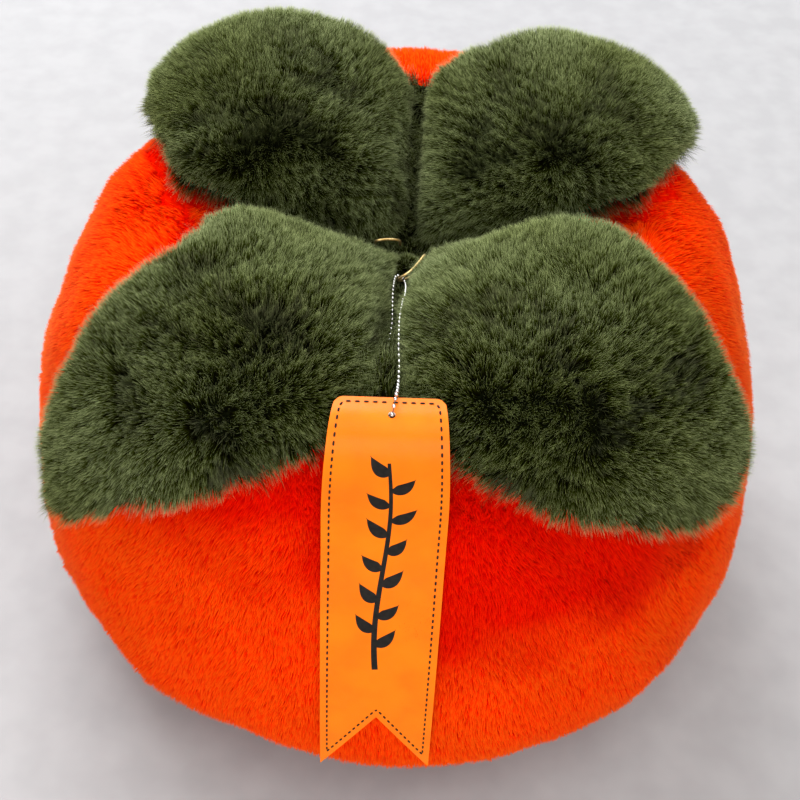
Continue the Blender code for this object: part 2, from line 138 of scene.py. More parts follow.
# Tag
TAG_WIDTH = 0.053
TAG_TOP_WIDTH = 0.044
TAG_FLARE = 0.070
TAG_THICKNESS = 0.0012
TAG_CORNER = 0.0035
TAG_NOTCH = 0.038
TAG_HOLE_DIAMETER = 0.0030
TAG_HOLE_INSET = 0.0100
TAG_HOLE_ASIDE = 0.0010
TAG_TOP_X = -0.0045
TAG_FOOT_X = -0.0075
TAG_FALL = (
    (-0.1360, 0.2681), (-0.1450, 0.2694), (-0.1525, 0.2668), (-0.1575, 0.2600),
    (-0.1605, 0.2490), (-0.1627, 0.2340), (-0.1655, 0.2170), (-0.1706, 0.1990),
    (-0.1778, 0.1790), (-0.1848, 0.1565), (-0.1918, 0.1330), (-0.1985, 0.1060),
    (-0.2028, 0.0850), (-0.2050, 0.0710))
STITCH_INSET = 0.0033
STITCH_CORNER = 0.0035
STITCH_LENGTH = 0.0020
STITCH_PITCH = 0.0036
STITCH_WIDTH = 0.0009

# Sprig printed on the tag
SPRIG_TOP = 0.030
SPRIG_FOOT = 0.150
SPRIG_LEAVES = 12
SPRIG_LEAF_LENGTH = 0.0132
SPRIG_LEAF_HALF_WIDTH = 0.0034
INK_LIFT = 0.00006
INK_STEP = 0.00002


def linear(colour):
    """An sRGB hex colour as linear numbers."""
    parts = [int(colour[place:place + 2], 16) / 255 for place in (1, 3, 5)]
    return tuple(c / 12.92 if c <= 0.04045 else ((c + 0.055) / 1.055) ** 2.4 for c in parts)


def add_node(tree, kind, links=None, **settings):
    """Add a node, set its inputs and its own settings, and link what feeds it."""
    made = tree.nodes.new(kind)
    for name, value in settings.items():
        setattr(made, name, value)
    for name, source in (links or {}).items():
        if isinstance(source, bpy.types.NodeSocket):
            tree.links.new(source, made.inputs[name])
        else:
            made.inputs[name].default_value = source
    return made


def new_material(name):
    """An empty node tree with its output, and the output node."""
    made = bpy.data.materials.new(name)
    made.use_nodes = True
    made.node_tree.nodes.clear()
    return made, made.node_tree, add_node(made.node_tree, "ShaderNodeOutputMaterial")


def ramp(tree, source, stops):
    """A colour ramp fed by a number; stops are places and sRGB colours."""
    made = add_node(tree, "ShaderNodeValToRGB", {"Fac": source})
    marks = made.color_ramp.elements
    while len(marks) < len(stops):
        marks.new(0.5)
    for mark, (place, colour) in zip(marks, stops):
        mark.position = place
        mark.color = (*linear(colour), 1.0)
    return made.outputs["Color"]


def fur_material(name, root_shade_tip_light_stops, upright_deep_shade_stops, patch_stops, spread, sheen):
    """Dyed acrylic pile, knitted in and brushed: soft and matt, with painted shade at the roots
    and painted light at the tips.

    The colour runs from root to tip, darker at the root, a painted shade of the pile's depth, and
    paler at the tip, a painted light: by one ramp where the nap lies and another, a deeper red,
    where it stands on end, a painted shade of its depth. Slow patches change it, and it differs a
    little from strand to strand. Light passes through the strands as well as off them.
    """
    made, tree, output = new_material(name)
    along = add_node(tree, "ShaderNodeAttribute", attribute_name="along").outputs["Fac"]
    strand = add_node(tree, "ShaderNodeAttribute", attribute_name="strand").outputs["Fac"]
    # Where the nap stands on end below the leaves: its colour there is a painted shade
    upright_and_shade = add_node(tree, "ShaderNodeAttribute", attribute_name="upright_and_shade").outputs["Fac"]
    nap = add_node(tree, "ShaderNodeMix", {"Factor": upright_and_shade}, data_type="RGBA")
    # Painted shade and light: dark roots, pale tips, and a deeper red where the nap stands
    tree.links.new(ramp(tree, along, root_shade_tip_light_stops), nap.inputs[6])
    tree.links.new(ramp(tree, along, upright_deep_shade_stops), nap.inputs[7])
    colour = nap.outputs[2]
    place = add_node(tree, "ShaderNodeTexCoord").outputs["Object"]
    noise = add_node(tree, "ShaderNodeTexNoise",
                     {"Vector": place, "Scale": 14.0, "Detail": 2.0})
    patch = ramp(tree, noise.outputs["Fac"], patch_stops)
    tinted = add_node(tree, "ShaderNodeMix", {"Factor": 1.0}, data_type="RGBA",
                      blend_type="MULTIPLY")
    tree.links.new(colour, tinted.inputs[6])
    tree.links.new(patch, tinted.inputs[7])
    value = add_node(tree, "ShaderNodeMapRange",
                     {"Value": strand, "To Min": 1 - spread, "To Max": 1 + spread}).outputs["Result"]
    varied = add_node(tree, "ShaderNodeHueSaturation",
                      {"Color": tinted.outputs[2], "Value": value}).outputs["Color"]
    shader = add_node(tree, "ShaderNodeBsdfPrincipled",
                      {"Base Color": varied, "Roughness": 0.8, "Sheen Weight": sheen[0],
                       "Sheen Roughness": 0.35, "Specular IOR Level": 0.0})
    shader.inputs["Sheen Tint"].default_value = (*linear(sheen[1]), 1.0)
    through = add_node(tree, "ShaderNodeBsdfTranslucent", {"Color": varied})
    both = add_node(tree, "ShaderNodeMixShader", {"Fac": 0.35})
    tree.links.new(shader.outputs[0], both.inputs[1])
    tree.links.new(through.outputs[0], both.inputs[2])
    tree.links.new(both.outputs[0], output.inputs["Surface"])
    return made


def backing_material(name, low, high):
    """The knitted backing that the pile stands in, seen only between the strands.

    It is matt, with loops about 2.5 mm wide, coarser than knitted ones.
    """
    made, tree, output = new_material(name)
    place = add_node(tree, "ShaderNodeTexCoord").outputs["Object"]
    noise = add_node(tree, "ShaderNodeTexNoise", {"Vector": place, "Scale": 400.0})
    colour = ramp(tree, noise.outputs["Fac"], ((0.35, low), (0.65, high)))
    bump = add_node(tree, "ShaderNodeBump",
                    {"Height": noise.outputs["Fac"], "Strength": 0.5, "Distance": 0.001})
    shader = add_node(tree, "ShaderNodeBsdfPrincipled",
                      {"Base Color": colour, "Roughness": 0.9, "Normal": bump.outputs[0],
                       "Specular IOR Level": 0.0})
    tree.links.new(shader.outputs[0], output.inputs["Surface"])
    return made


def leather_material():
    """Coated faux leather, embossed with a fine grain: a satin face that takes a pale gloss.

    The grain is drawn about 0.7 mm wide, coarser than the real one, which wouldn't show.
    """
    made, tree, output = new_material("orange faux leather")
    place = add_node(tree, "ShaderNodeTexCoord").outputs["Object"]
    grain = add_node(tree, "ShaderNodeTexVoronoi", {"Vector": place, "Scale": 1400.0},
                     feature="DISTANCE_TO_EDGE")
    cloud = add_node(tree, "ShaderNodeTexNoise", {"Vector": place, "Scale": 45.0, "Detail": 3.0})
    colour = ramp(tree, cloud.outputs["Fac"], ((0.3, "#E86A00"), (0.7, "#F27800")))
    rough = add_node(tree, "ShaderNodeMapRange",
                     {"Value": cloud.outputs["Fac"], "To Min": 0.28, "To Max": 0.4})
    bump = add_node(tree, "ShaderNodeBump",
                    {"Height": grain.outputs["Distance"], "Strength": 0.22,
                     "Distance": 0.0004})
    shader = add_node(tree, "ShaderNodeBsdfPrincipled",
                      {"Base Color": colour, "Roughness": rough.outputs["Result"],
                       "Normal": bump.outputs[0], "Specular IOR Level": 0.14})
    tree.links.new(shader.outputs[0], output.inputs["Surface"])
    return made


def speckled_material(name, low, high, scale, roughness, metallic=0.0):
    """A finish whose colour and roughness change a little, in spots about 1 / scale metres wide."""
    made, tree, output = new_material(name)
    place = add_node(tree, "ShaderNodeTexCoord").outputs["Object"]
    noise = add_node(tree, "ShaderNodeTexNoise", {"Vector": place, "Scale": scale})
    colour = ramp(tree, noise.outputs["Fac"], ((0.35, low), (0.65, high)))
    rough = add_node(tree, "ShaderNodeMapRange",
                     {"Value": noise.outputs["Fac"], "To Min": roughness * 0.8,
                      "To Max": roughness * 1.2})
    shader = add_node(tree, "ShaderNodeBsdfPrincipled",
                      {"Base Color": colour, "Roughness": rough.outputs["Result"],
                       "Metallic": metallic, "Specular IOR Level": 0.5 if metallic else 0.15})
    tree.links.new(shader.outputs[0], output.inputs["Surface"])
    return made


def add_piece(name, mesh, materials, replaces=()):
    """Put a mesh in the scene as a piece that rides on the root body."""
    made = bpy.data.objects.new(name, mesh)
    bpy.context.scene.collection.objects.link(made)
    for finish in materials:
        mesh.materials.append(finish)
    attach(made, "root")
    if replaces:
        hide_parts(*replaces)
    return made


def mesh_from(name, points, faces):
    """A smooth mesh from an array of points and a list of faces."""
    mesh = bpy.data.meshes.new(name)
    mesh.from_pydata(np.asarray(points).tolist(), [], faces)
    mesh.shade_smooth()
    return mesh


def grid_faces(rows, columns, wrap=False):
    """Quads of a grid of points, row by row; wrap joins the last column to the first."""
    column = np.arange(columns if wrap else columns - 1)[None]
    row = np.arange(rows - 1)[:, None] * columns
    here, beside = row + column, row + (column + 1) % columns
    return np.stack([here, beside, beside + columns, here + columns], -1).reshape(-1, 4)


def waves(points, length, seed):
    """A smooth vector field: sines along random directions, added, about one unit strong."""
    count = 14
    rng = np.random.default_rng(seed)
    way = rng.normal(size=(count, 3))
    way *= rng.uniform(0.7, 1.5, (count, 1)) / np.linalg.norm(way, axis=1, keepdims=True)
    phase = rng.uniform(0, 2 * math.pi, (3, count))
    turn = points @ way.T * (2 * math.pi / length)
    return np.stack([np.sin(turn + shift).sum(1) for shift in phase], -1) * math.sqrt(2 / count)


def unit(vectors):
    """Vectors scaled to length one."""
    return vectors / np.maximum(np.linalg.norm(vectors, axis=-1, keepdims=True), 1e-9)


def skin_arrays(mesh):
    """Points, normals and triangles of a mesh."""
    mesh.calc_loop_triangles()
    points = np.empty(len(mesh.vertices) * 3)
    mesh.vertices.foreach_get("co", points)
    normals = np.empty(len(mesh.vertices) * 3)
    mesh.vertices.foreach_get("normal", normals)
    triangles = np.empty(len(mesh.loop_triangles) * 3, np.int32)
    mesh.loop_triangles.foreach_get("vertices", triangles)
    return points.reshape(-1, 3), normals.reshape(-1, 3), triangles.reshape(-1, 3)


def place_strands(skin, count, density, rng):
    """Roots spread over a skin at random by area times density, with the normal at each."""
    points, normals, triangles = skin
    corners = points[triangles]
    area = np.linalg.norm(np.cross(corners[:, 1] - corners[:, 0],
                                   corners[:, 2] - corners[:, 0]), axis=1)
    weight = area * density(corners.mean(1), unit(normals[triangles].mean(1)))
    chosen = rng.choice(len(triangles), count, p=weight / weight.sum())
    share = np.sort(rng.random((count, 2)), axis=1)
    share = np.stack([share[:, 0], share[:, 1] - share[:, 0], 1 - share[:, 1]], -1)[..., None]
    roots = (corners[chosen] * share).sum(1)
    return roots, unit((normals[triangles[chosen]] * share).sum(1))


def strand_cells(roots):
    """A small square of the bake map for each strand, with near strands near each other."""
    count = len(roots)
    side = math.ceil(math.sqrt(count))
    column = np.empty(count, int)
    column[np.argsort(roots[:, 0], kind="stable")] = np.arange(count) // side
    order = np.lexsort((roots[:, 1] - roots[:, 2], column))
    row = np.empty(count, int)
    row[order] = np.arange(count) - column[order] * side
    return np.stack([column, row], -1) / side, 1 / side


def fur_mesh(name, roots, normals, lean, pile, rng, upright_and_shade=None):
    """Blades of pile: each starts sunk in the skin, rises leaning, bends once and ends in a point.

    The blade's line is root, root + L/2 (normal + lean) and then L/2 further with twice the lean;
    its width stands across that line, turned at random.
    """
    count = len(roots)
    length = pile["length"] * rng.uniform(0.75, 1.15, (count, 1))
    stray = rng.normal(0, pile["stray"], (count, 3))
    low = unit(normals + lean * 0.7 + stray * 0.6)
    high = unit(normals * (1 - pile["bend"]) + lean * 1.3 + stray)
    across = unit(np.cross(low + high, normals) + 0.02 * rng.normal(size=(count, 3)))
    twist = rng.normal(0, pile["twist"], (count, 1))
    across = unit(across * np.cos(twist) + np.cross(unit(low + high), across) * np.sin(twist))
    half = across * pile["width"] / 2 * rng.uniform(0.8, 1.2, (count, 1))
    start = roots - normals * pile["sink"]
    middle = start + low * length / 2
    tip = middle + high * length / 2
    if pile["joints"] == 2:
        points = [start - half, start + half, middle + half * 0.8, middle - half * 0.8, tip]
        faces = ((0, 1, 2, 3), (3, 2, 4))
        along = (0.0, 0.0, 0.5, 0.5, 1.0)
        spots = ((0.1, 0.1), (0.9, 0.1), (0.75, 0.5), (0.25, 0.5), (0.5, 0.92))
    else:
        points = [start - half, start + half, tip]
        faces = ((0, 1, 2),)
        along = (0.0, 0.0, 1.0)
        spots = ((0.1, 0.1), (0.9, 0.1), (0.5, 0.92))
    each = len(points)
    points = np.stack(points, 1)
    points[..., 2] = np.maximum(points[..., 2], 0.0002)
    facing = np.cross(points[:, 1] - points[:, 0], points[:, -1] - points[:, 0])
    away = (facing * normals).sum(-1) < 0
    flipped = points.copy()
    flipped[:, 0], flipped[:, 1] = points[:, 1], points[:, 0]
    if pile["joints"] == 2:
        flipped[:, 2], flipped[:, 3] = points[:, 3], points[:, 2]
    points[away] = flipped[away]
    facing[away] *= -1
    mesh = bpy.data.meshes.new(name)
    mesh.vertices.add(count * each)
    mesh.vertices.foreach_set("co", points.astype(np.float32).ravel())
    pattern = np.concatenate([np.array(face) for face in faces])
    corners = (pattern[None] + np.arange(count)[:, None] * each).ravel()
    mesh.loops.add(len(corners))
    mesh.loops.foreach_set("vertex_index", corners.astype(np.int32))
    sizes = np.tile([len(face) for face in faces], count)
    starts = np.concatenate([[0], np.cumsum(sizes)[:-1]])
    mesh.polygons.add(len(sizes))
    mesh.polygons.foreach_set("loop_start", starts.astype(np.int32))
    mesh.polygons.foreach_set("loop_total", sizes.astype(np.int32))
    mesh.polygons.foreach_set("use_smooth", np.ones(len(sizes), bool))
    cells, side = strand_cells(roots)
    spread = cells[:, None] + np.array(spots)[None] * side
    mesh.uv_layers.new(name="OFBake").data.foreach_set(
        "uv", spread[:, pattern].astype(np.float32).ravel())
    mesh.attributes.new("along", "FLOAT", "POINT").data.foreach_set(
        "value", np.tile(np.array(along, np.float32), count))
    mesh.attributes.new("strand", "FLOAT", "POINT").data.foreach_set(
        "value", np.repeat(rng.random(count).astype(np.float32), each))
    # Where the nap stands on end; the material paints it deeper red there, a painted shade
    mesh.attributes.new("upright_and_shade", "FLOAT", "POINT").data.foreach_set(
        "value", np.repeat((np.zeros(count) if upright_and_shade is None else upright_and_shade).astype(np.float32),
                           each))
    mesh.update(calc_edges=True)
    soft = unit(unit(facing) * (1 - pile["soft"]) + normals * pile["soft"])
    mesh.normals_split_custom_set_from_vertices(np.repeat(soft, each, 0).astype(np.float32))
    return mesh


def merged_copy(node):
    """A welded copy of a frame node's mesh."""
    work = bmesh.new()
    work.from_mesh(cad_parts[node].data)
    bmesh.ops.remove_doubles(work, verts=work.verts, dist=1e-5)
    mesh = bpy.data.meshes.new(node + "_form")
    work.to_mesh(mesh)
    work.free()
    return mesh


def applied(made, *modifiers):
    """The mesh of a scratch object with these modifiers applied; the object is removed."""
    for kind, settings in modifiers:
        modifier = made.modifiers.new(kind.lower(), kind)
        for name, value in settings.items():
            setattr(modifier, name, value)
    view = bpy.context.evaluated_depsgraph_get()
    mesh = bpy.data.meshes.new_from_object(made.evaluated_get(view))
    bpy.data.objects.remove(made)
    return mesh


def scratch(mesh):
    """An object for a mesh that is still being worked on."""
    made = bpy.data.objects.new("working", mesh)
    bpy.context.scene.collection.objects.link(made)
    return made


def set_points(mesh, points):
    """Write an array of points back to a mesh."""
    mesh.vertices.foreach_set("co", np.asarray(points, np.float32).ravel())
    mesh.update()


def swollen(mesh, pressure, cap):
    """The mesh pressed out from inside as its filling does, by a cloth simulation.

    No point moves further than cap.
    """
    before = skin_arrays(mesh)[0]
    made = scratch(mesh)
    cloth = made.modifiers.new("filling", "CLOTH").settings
    cloth.use_pressure = True
    cloth.uniform_pressure_force = pressure
    cloth.effector_weights.gravity = 0
    for moment in range(1, FILLING_FRAMES + 1):
        bpy.context.scene.frame_set(moment)
    view = bpy.context.evaluated_depsgraph_get()
    after = bpy.data.meshes.new_from_object(made.evaluated_get(view))
    bpy.data.objects.remove(made)
    bpy.context.scene.frame_set(1)
    move = skin_arrays(after)[0] - before
    far = np.linalg.norm(move, axis=1, keepdims=True)
    set_points(after, before + move * np.minimum(1, cap / np.maximum(far, 1e-9)))
    return after


def leaf_skin(node):
    """The stuffed leaf under its fur: the frame's solid drawn in, swollen and smoothed.

    It is then moved in along its normals by LEAF_INSET, or by a share of its own thickness
    where it is thin.
    """
    mesh = merged_copy(node)
    points = skin_arrays(mesh)[0]
    pit = np.array([SHIFT[0], SHIFT[1], points[:, 2].mean()])
    set_points(mesh, pit + (points - pit) * LEAF_DRAW_IN)
    mesh = applied(scratch(mesh), ("REMESH", {"mode": "VOXEL", "voxel_size": LEAF_VOXEL}))
    mesh = swollen(mesh, FILLING_PRESSURE, LEAF_SWELL)
    mesh = applied(scratch(mesh), ("SMOOTH", {"factor": 0.5, "iterations": 4}))
    points, normals, triangles = skin_arrays(mesh)
    tree = BVHTree.FromPolygons(points.tolist(), triangles.tolist())
    depth = np.array([tree.ray_cast(Vector(p - n * 1e-4), Vector(-n))[3] or 0.0
                      for p, n in zip(points, normals)])
    inset = np.minimum(LEAF_INSET, LEAF_INSET_SHARE * depth)[:, None]
    set_points(mesh, points - normals * inset)
    mesh.shade_smooth()
    return mesh


def body_skin():
    """The stuffed body under its pile: the frame's solid, rounded, drawn in and a little uneven."""
    mesh = applied(scratch(merged_copy("body")), ("SUBSURF", {"levels": 1, "render_levels": 1}))
    points, normals, _ = skin_arrays(mesh)
    uneven = waves(points, 0.11, 5)[:, :1] * 0.0011 + waves(points, 0.045, 6)[:, :1] * 0.0005
    points = points - normals * (BODY_INSET - uneven)
    points[:, 2] = np.maximum(points[:, 2], 0.0)
    set_points(mesh, points)
    mesh.shade_smooth()
    return mesh


def near_chain(places):
    """From 0 far away to 1 within a few millimetres of the chain and its cord."""
    route, _ = smooth_path(np.array(CHAIN_ROUTE + CHAIN_ROUTE[:1]) + SHIFT, 160)
    loop, _ = smooth_path(np.array(CORD_ROUTE) + SHIFT, 40)
    route = np.concatenate([route, loop])
    low, high = route.min(0) - 0.01, route.max(0) + 0.01
    inside = np.flatnonzero(((places > low) & (places < high)).all(1))
    result = np.zeros((len(places), 1))
    for block in np.array_split(inside, len(inside) // 4000 + 1):
        away = np.linalg.norm(places[block, None] - route[None], axis=2)
        if len(block):
            result[block, 0] = 1 - eased(away.min(1), CHAIN_CLEAR, CHAIN_PAST)
    return result


def leaf_pile(node, mesh, seed):
    """Long fur combed out from the middle of a leaf, in soft tufts.

    It is longer round the rim and towards the front seam, where the leaves close up, shorter
    towards the rear seam, which stays open, and pressed short near the chain.
    """
    rng = np.random.default_rng(seed)
    skin = skin_arrays(mesh)
    middle = skin[0].mean(0) + (WHORL_FRONT if "front" in node else WHORL_REAR)

    def density(places, normals):
        return np.where(normals[:, 2] < -0.25, 0.35, 1.0)

    roots, normals = place_strands(skin, LEAF_STRANDS, density, rng)
    out = roots - middle
    reach = np.clip(np.linalg.norm(out[:, :2], axis=1, keepdims=True) / 0.08, 0, 1)
    out = unit(out - (out * normals).sum(1, keepdims=True) * normals)
    lean = out * 0.62 * reach + waves(roots, 0.0055, seed + 1) * 0.10
    lean += waves(roots, 0.018, seed + 3) * 0.09 + waves(roots, 0.05, seed + 2) * 0.14
    lean[:, 2] -= 0.12
    rim = eased(-normals[:, 2:], -0.35, 0.35)
    seam = eased(-np.abs(roots[:, :1] - SHIFT[0]), -0.02, -0.008)
    fill_seam = 0.3 if "front" in node else -0.3
    pressed = 1 - 0.5 * near_chain(roots + normals * 0.006)
    length = LEAF_PILE["length"] * (1 + 0.55 * rim + fill_seam * seam) * pressed
    return fur_mesh(node + "_fur", roots, normals, lean, {**LEAF_PILE, "length": length}, rng)


def eased(value, low, high):
    """From 0 at low to 1 at high, level at both ends."""
    share = np.clip((value - low) / (high - low), 0, 1)
    return share * share * (3 - 2 * share)


def standing_and_shade(places):
    """Where the nap stands on end, from 0 to 1: the front of the body just below the leaves.

    There it leans less, and its colour takes a deeper red, a painted shade of the pile's depth
    and of the leaves above. It reaches lower to the right of the tag than to its left.
    """
    x, y, z = places.T
    foot = STANDING_SHADE_LEFT + (STANDING_SHADE_RIGHT - STANDING_SHADE_LEFT) * eased(x, -0.02, 0.03)
    foot += 0.006 * waves(places, 0.05, 31)[:, 0]
    return (0.9 * eased(z - foot, 0.0, 0.045) * eased(-y, 0.05, 0.13)
            * eased(0.20 - np.abs(x), 0.0, 0.08))


def body_pile(name, skin, under, count, seed):
    """Short nap brushed down from the crown, with slow swirls where a hand has passed.

    It is thin where a leaf presses on it and below, and left out under the green base.
    """
    rng = np.random.default_rng(seed)

    def density(places, normals):
        thin = np.where(under(places), 0.06, 1.0) * (under_base(places) > 1)
        return thin * np.where(normals[:, 2] < -0.5, 0.4, 1.0) * (places[:, 2] > 0.0004)

    roots, normals = place_strands(skin, count, density, rng)
    down = np.concatenate([roots[:, :2] * 2.0, np.full((count, 1), -1.0)], 1)
    down = unit(down - (down * normals).sum(1, keepdims=True) * normals)
    # Standing zone: the nap leans less, and the material paints it deeper red, a painted shade
    upright_and_shade = standing_and_shade(roots)
    lean = down * (0.95 + 0.15 * waves(roots, 0.12, 21)[:, :1]) * (1 - 0.6 * upright_and_shade[:, None])
    lean += waves(roots, 0.07, 22) * 0.15 + waves(roots, 0.006, 23) * 0.12
    return fur_mesh(name, roots, normals, lean, BODY_PILE, rng, upright_and_shade)


def build_body(pile_finish, skin_finish):
    """The orange body: one skin, and its nap in a few pieces."""
    mesh = body_skin()
    skin = skin_arrays(mesh)
    leaves = []
    for node in LEAF_NAMES:
        points, _, triangles = skin_arrays(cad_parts[node].data)
        leaves.append(BVHTree.FromPolygons(points.tolist(), triangles.tolist()))

    def under(places):
        shade = np.zeros(len(places), bool)
        for at, place in enumerate(places):
            if place[2] > CROWN_HEIGHT:
                shade[at] = any(tree.ray_cast(Vector(place), Vector((0, 0, 1)), PRESSED_GAP)[0]
                                for tree in leaves)
        return shade

    body = add_piece("body_skin", mesh, [skin_finish], ["body"])
    for part in range(BODY_PARTS):
        pile = body_pile(f"body_pile_{part + 1}", skin, under, BODY_STRANDS, 40 + part)
        add_piece(f"body_pile_{part + 1}", pile, [pile_finish])


def build_leaves(pile_finish, skin_finish):
    """The four stuffed leaves, each a skin and its fur."""
    for number, node in enumerate(LEAF_NAMES):
        mesh = leaf_skin(node)
        pile = leaf_pile(node, mesh, 60 + 5 * number)
        leaf = add_piece(node + "_skin", mesh, [skin_finish], [node])
        add_piece(node + "_fur", pile, [pile_finish])


def base_reach(turn):
    """How far the green base on the crown goes at each angle: further along the front seam."""
    along = np.abs(np.sin(turn)) ** 6
    return BASE_RADIUS * (1 + BASE_LOBE * along * np.where(np.sin(turn) < 0, 1.0, 0.3))


def under_base(places):
    """Distance from the pit's axis over the reach of the green base, on the crown; else large."""
    x, y = places[:, 0] - SHIFT[0], places[:, 1] - SHIFT[1]
    share = np.hypot(x, y) / base_reach(np.arctan2(y, x))
    return np.where(places[:, 2] > CROWN_HEIGHT, share, 9.0)


def build_base(pile_finish, skin_finish):
    """Green fur on the crown between the leaves' roots: a disc laid on the body, ring by ring.

    Its front lobe is lifted to meet the leaves, and its fur is short in the pit.
    """
    rng = np.random.default_rng(80)
    points, _, triangles = skin_arrays(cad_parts["body"].data)
    tree = BVHTree.FromPolygons(points.tolist(), triangles.tolist())
    turn = np.linspace(0, 2 * math.pi, BASE_SPOKES, endpoint=False)[None]
    reach = np.linspace(0.006, 1, BASE_RINGS)[:, None] * base_reach(turn)
    flat = np.stack([SHIFT[0] + reach * np.cos(turn), SHIFT[1] + reach * np.sin(turn)], -1)
    laid = [tree.ray_cast(Vector((x, y, 0.4)), Vector((0, 0, -1)))[0] for x, y in
            flat.reshape(-1, 2)]
    laid = np.array(laid)
    laid[:, 2] += BASE_FRONT_LIFT * eased(-laid[:, 1], 0.06, 0.11)
    upper = laid + (0, 0, BASE_RISE)
    under = laid - (0, 0, BASE_DEPTH)
    top, foot = upper[:BASE_SPOKES].mean(0), under[:BASE_SPOKES].mean(0)
    quads = grid_faces(BASE_RINGS, BASE_SPOKES, wrap=True)
    layer = len(upper)
    rim = np.arange(BASE_SPOKES) + (BASE_RINGS - 1) * BASE_SPOKES
    beside = np.roll(rim, -1)
    faces = quads.tolist() + (quads + layer)[:, ::-1].tolist()
    faces += np.stack([rim, beside, beside + layer, rim + layer], -1).tolist()
    for step in range(BASE_SPOKES):
        after = (step + 1) % BASE_SPOKES
        faces += [(2 * layer, after, step), (2 * layer + 1, layer + step, layer + after)]
    mesh = mesh_from("crown_base", np.concatenate([upper, under, [top, foot]]), faces)
    work = bmesh.new()
    work.from_mesh(mesh)
    bmesh.ops.recalc_face_normals(work, faces=work.faces)
    work.to_mesh(mesh)
    work.free()

    def density(places, normals):
        aside = np.minimum(np.abs(places[:, 0] - SHIFT[0]), np.abs(places[:, 1] - SHIFT[1]))
        return (normals[:, 2] > 0.3) * np.where(aside < 0.022, 1.0, 0.1)

    roots, normals = place_strands(skin_arrays(mesh), BASE_STRANDS, density, rng)
    ahead = eased(-roots[:, 1:2], 0.09, 0.12)
    out = np.hypot(roots[:, :1] - SHIFT[0], roots[:, 1:2] - SHIFT[1])
    length = (PIT_PILE_LENGTH + (BASE_PILE["length"] - PIT_PILE_LENGTH) * eased(out, 0.020, 0.050)
              + 0.004 * ahead)
    lean = waves(roots, 0.01, 81) * 0.3
    fur = fur_mesh("crown_base_fur", roots, normals, lean, {**BASE_PILE, "length": length}, rng)
    add_piece("crown_base", mesh, [skin_finish])
    add_piece("crown_base_fur", fur, [pile_finish])


def build_pad(pile_finish, skin_finish):
    """The small fur pad in the pit: a ball drawn in, with short fur all over."""
    rng = np.random.default_rng(90)
    mesh = merged_copy("centre_pad")
    points, normals, _ = skin_arrays(mesh)
    set_points(mesh, points - normals * PAD_INSET)
    mesh.shade_smooth()
    roots, normals = place_strands(skin_arrays(mesh), PAD_STRANDS,
                                   lambda places, normals: 1.0, rng)
    lean = waves(roots, 0.008, 91) * 0.3
    fur = fur_mesh("centre_pad_fur", roots, normals, lean, PAD_PILE, rng)
    pad = add_piece("centre_pad_skin", mesh, [skin_finish], ["centre_pad"])
    add_piece("centre_pad_fur", fur, [pile_finish])


def smooth_path(points, count):
    """A smooth curve through given points, read off at even distances."""
    points = np.array(points, float)
    ends = np.vstack([2 * points[0] - points[1], points, 2 * points[-1] - points[-2]])
    share = np.linspace(0, 1, 24, endpoint=False)[:, None]
    fine = [0.5 * (2 * here + (after - before) * share
                   + (2 * before - 5 * here + 4 * after - beyond) * share ** 2
                   + (3 * here - before - 3 * after + beyond) * share ** 3)
            for before, here, after, beyond in zip(ends, ends[1:], ends[2:], ends[3:])]
    fine = np.concatenate(fine + [points[-1:]])
    run = np.concatenate([[0.0], np.cumsum(np.linalg.norm(np.diff(fine, axis=0), axis=1))])
    wanted = np.linspace(0, run[-1], count)
    return np.stack([np.interp(wanted, run, fine[:, axis]) for axis in range(3)], -1), run[-1]


def frames_along(path):
    """Side and upward directions along a path, turned as little as can be."""
    forward = unit(np.gradient(path, axis=0))
    side = unit(np.cross(forward[0], (0.3, 0.2, 1.0)))
    sides = []
    for ahead in forward:
        side = unit(side - ahead * np.dot(side, ahead))
        sides.append(side)
    sides = np.array(sides)
    return sides, np.cross(forward, sides)


def tube(path, radii, angles):
    """Closed tube: rings of radius radii[row, column] at these angles about the path."""
    side, up = frames_along(path)
    rings = path[:, None] + radii[..., None] * (np.cos(angles)[..., None] * side[:, None]
                                                + np.sin(angles)[..., None] * up[:, None])
    rows, columns = rings.shape[:2]
    points = np.concatenate([rings.reshape(-1, 3), path[:1], path[-1:]])
    faces = grid_faces(rows, columns, wrap=True).tolist()
    first, last = rows * columns, rows * columns + 1
    for step in range(columns):
        after = (step + 1) % columns
        faces.append((first, after, step))
        faces.append((last, (rows - 1) * columns + step, (rows - 1) * columns + after))
    return points, faces


def twisted_cord(name, route, diameter):
    """Two-ply gold cord: a tube whose section has two lobes that turn with the lay."""
    path, length = smooth_path(np.array(route) + SHIFT, 160)
    turn = np.linspace(0, 2 * math.pi * length / CORD_LAY, len(path))[:, None]
    angles = np.linspace(0, 2 * math.pi, 14, endpoint=False)[None] + np.zeros((len(path), 1))
    lobes = 0.80 + 0.20 * np.abs(np.cos(angles - turn))
    ply = 0.03 * np.cos(12 * angles + turn)
    points, faces = tube(path, diameter / 2 * (lobes + ply), angles)
    return mesh_from(name, points, faces), path, length


def build_cord(finish):
    """The gold loop that the chain hangs in, and the bit of it that shows again behind the pad."""
    for name, route, old in (("gold_loop", CORD_ROUTE, ["gold_cord"]),
                             ("gold_loop_far_side", CORD_FAR_ROUTE, [])):
        mesh, path, length = twisted_cord(name, route, CORD_DIAMETER)
        loop = add_piece(name, mesh, [finish], old)


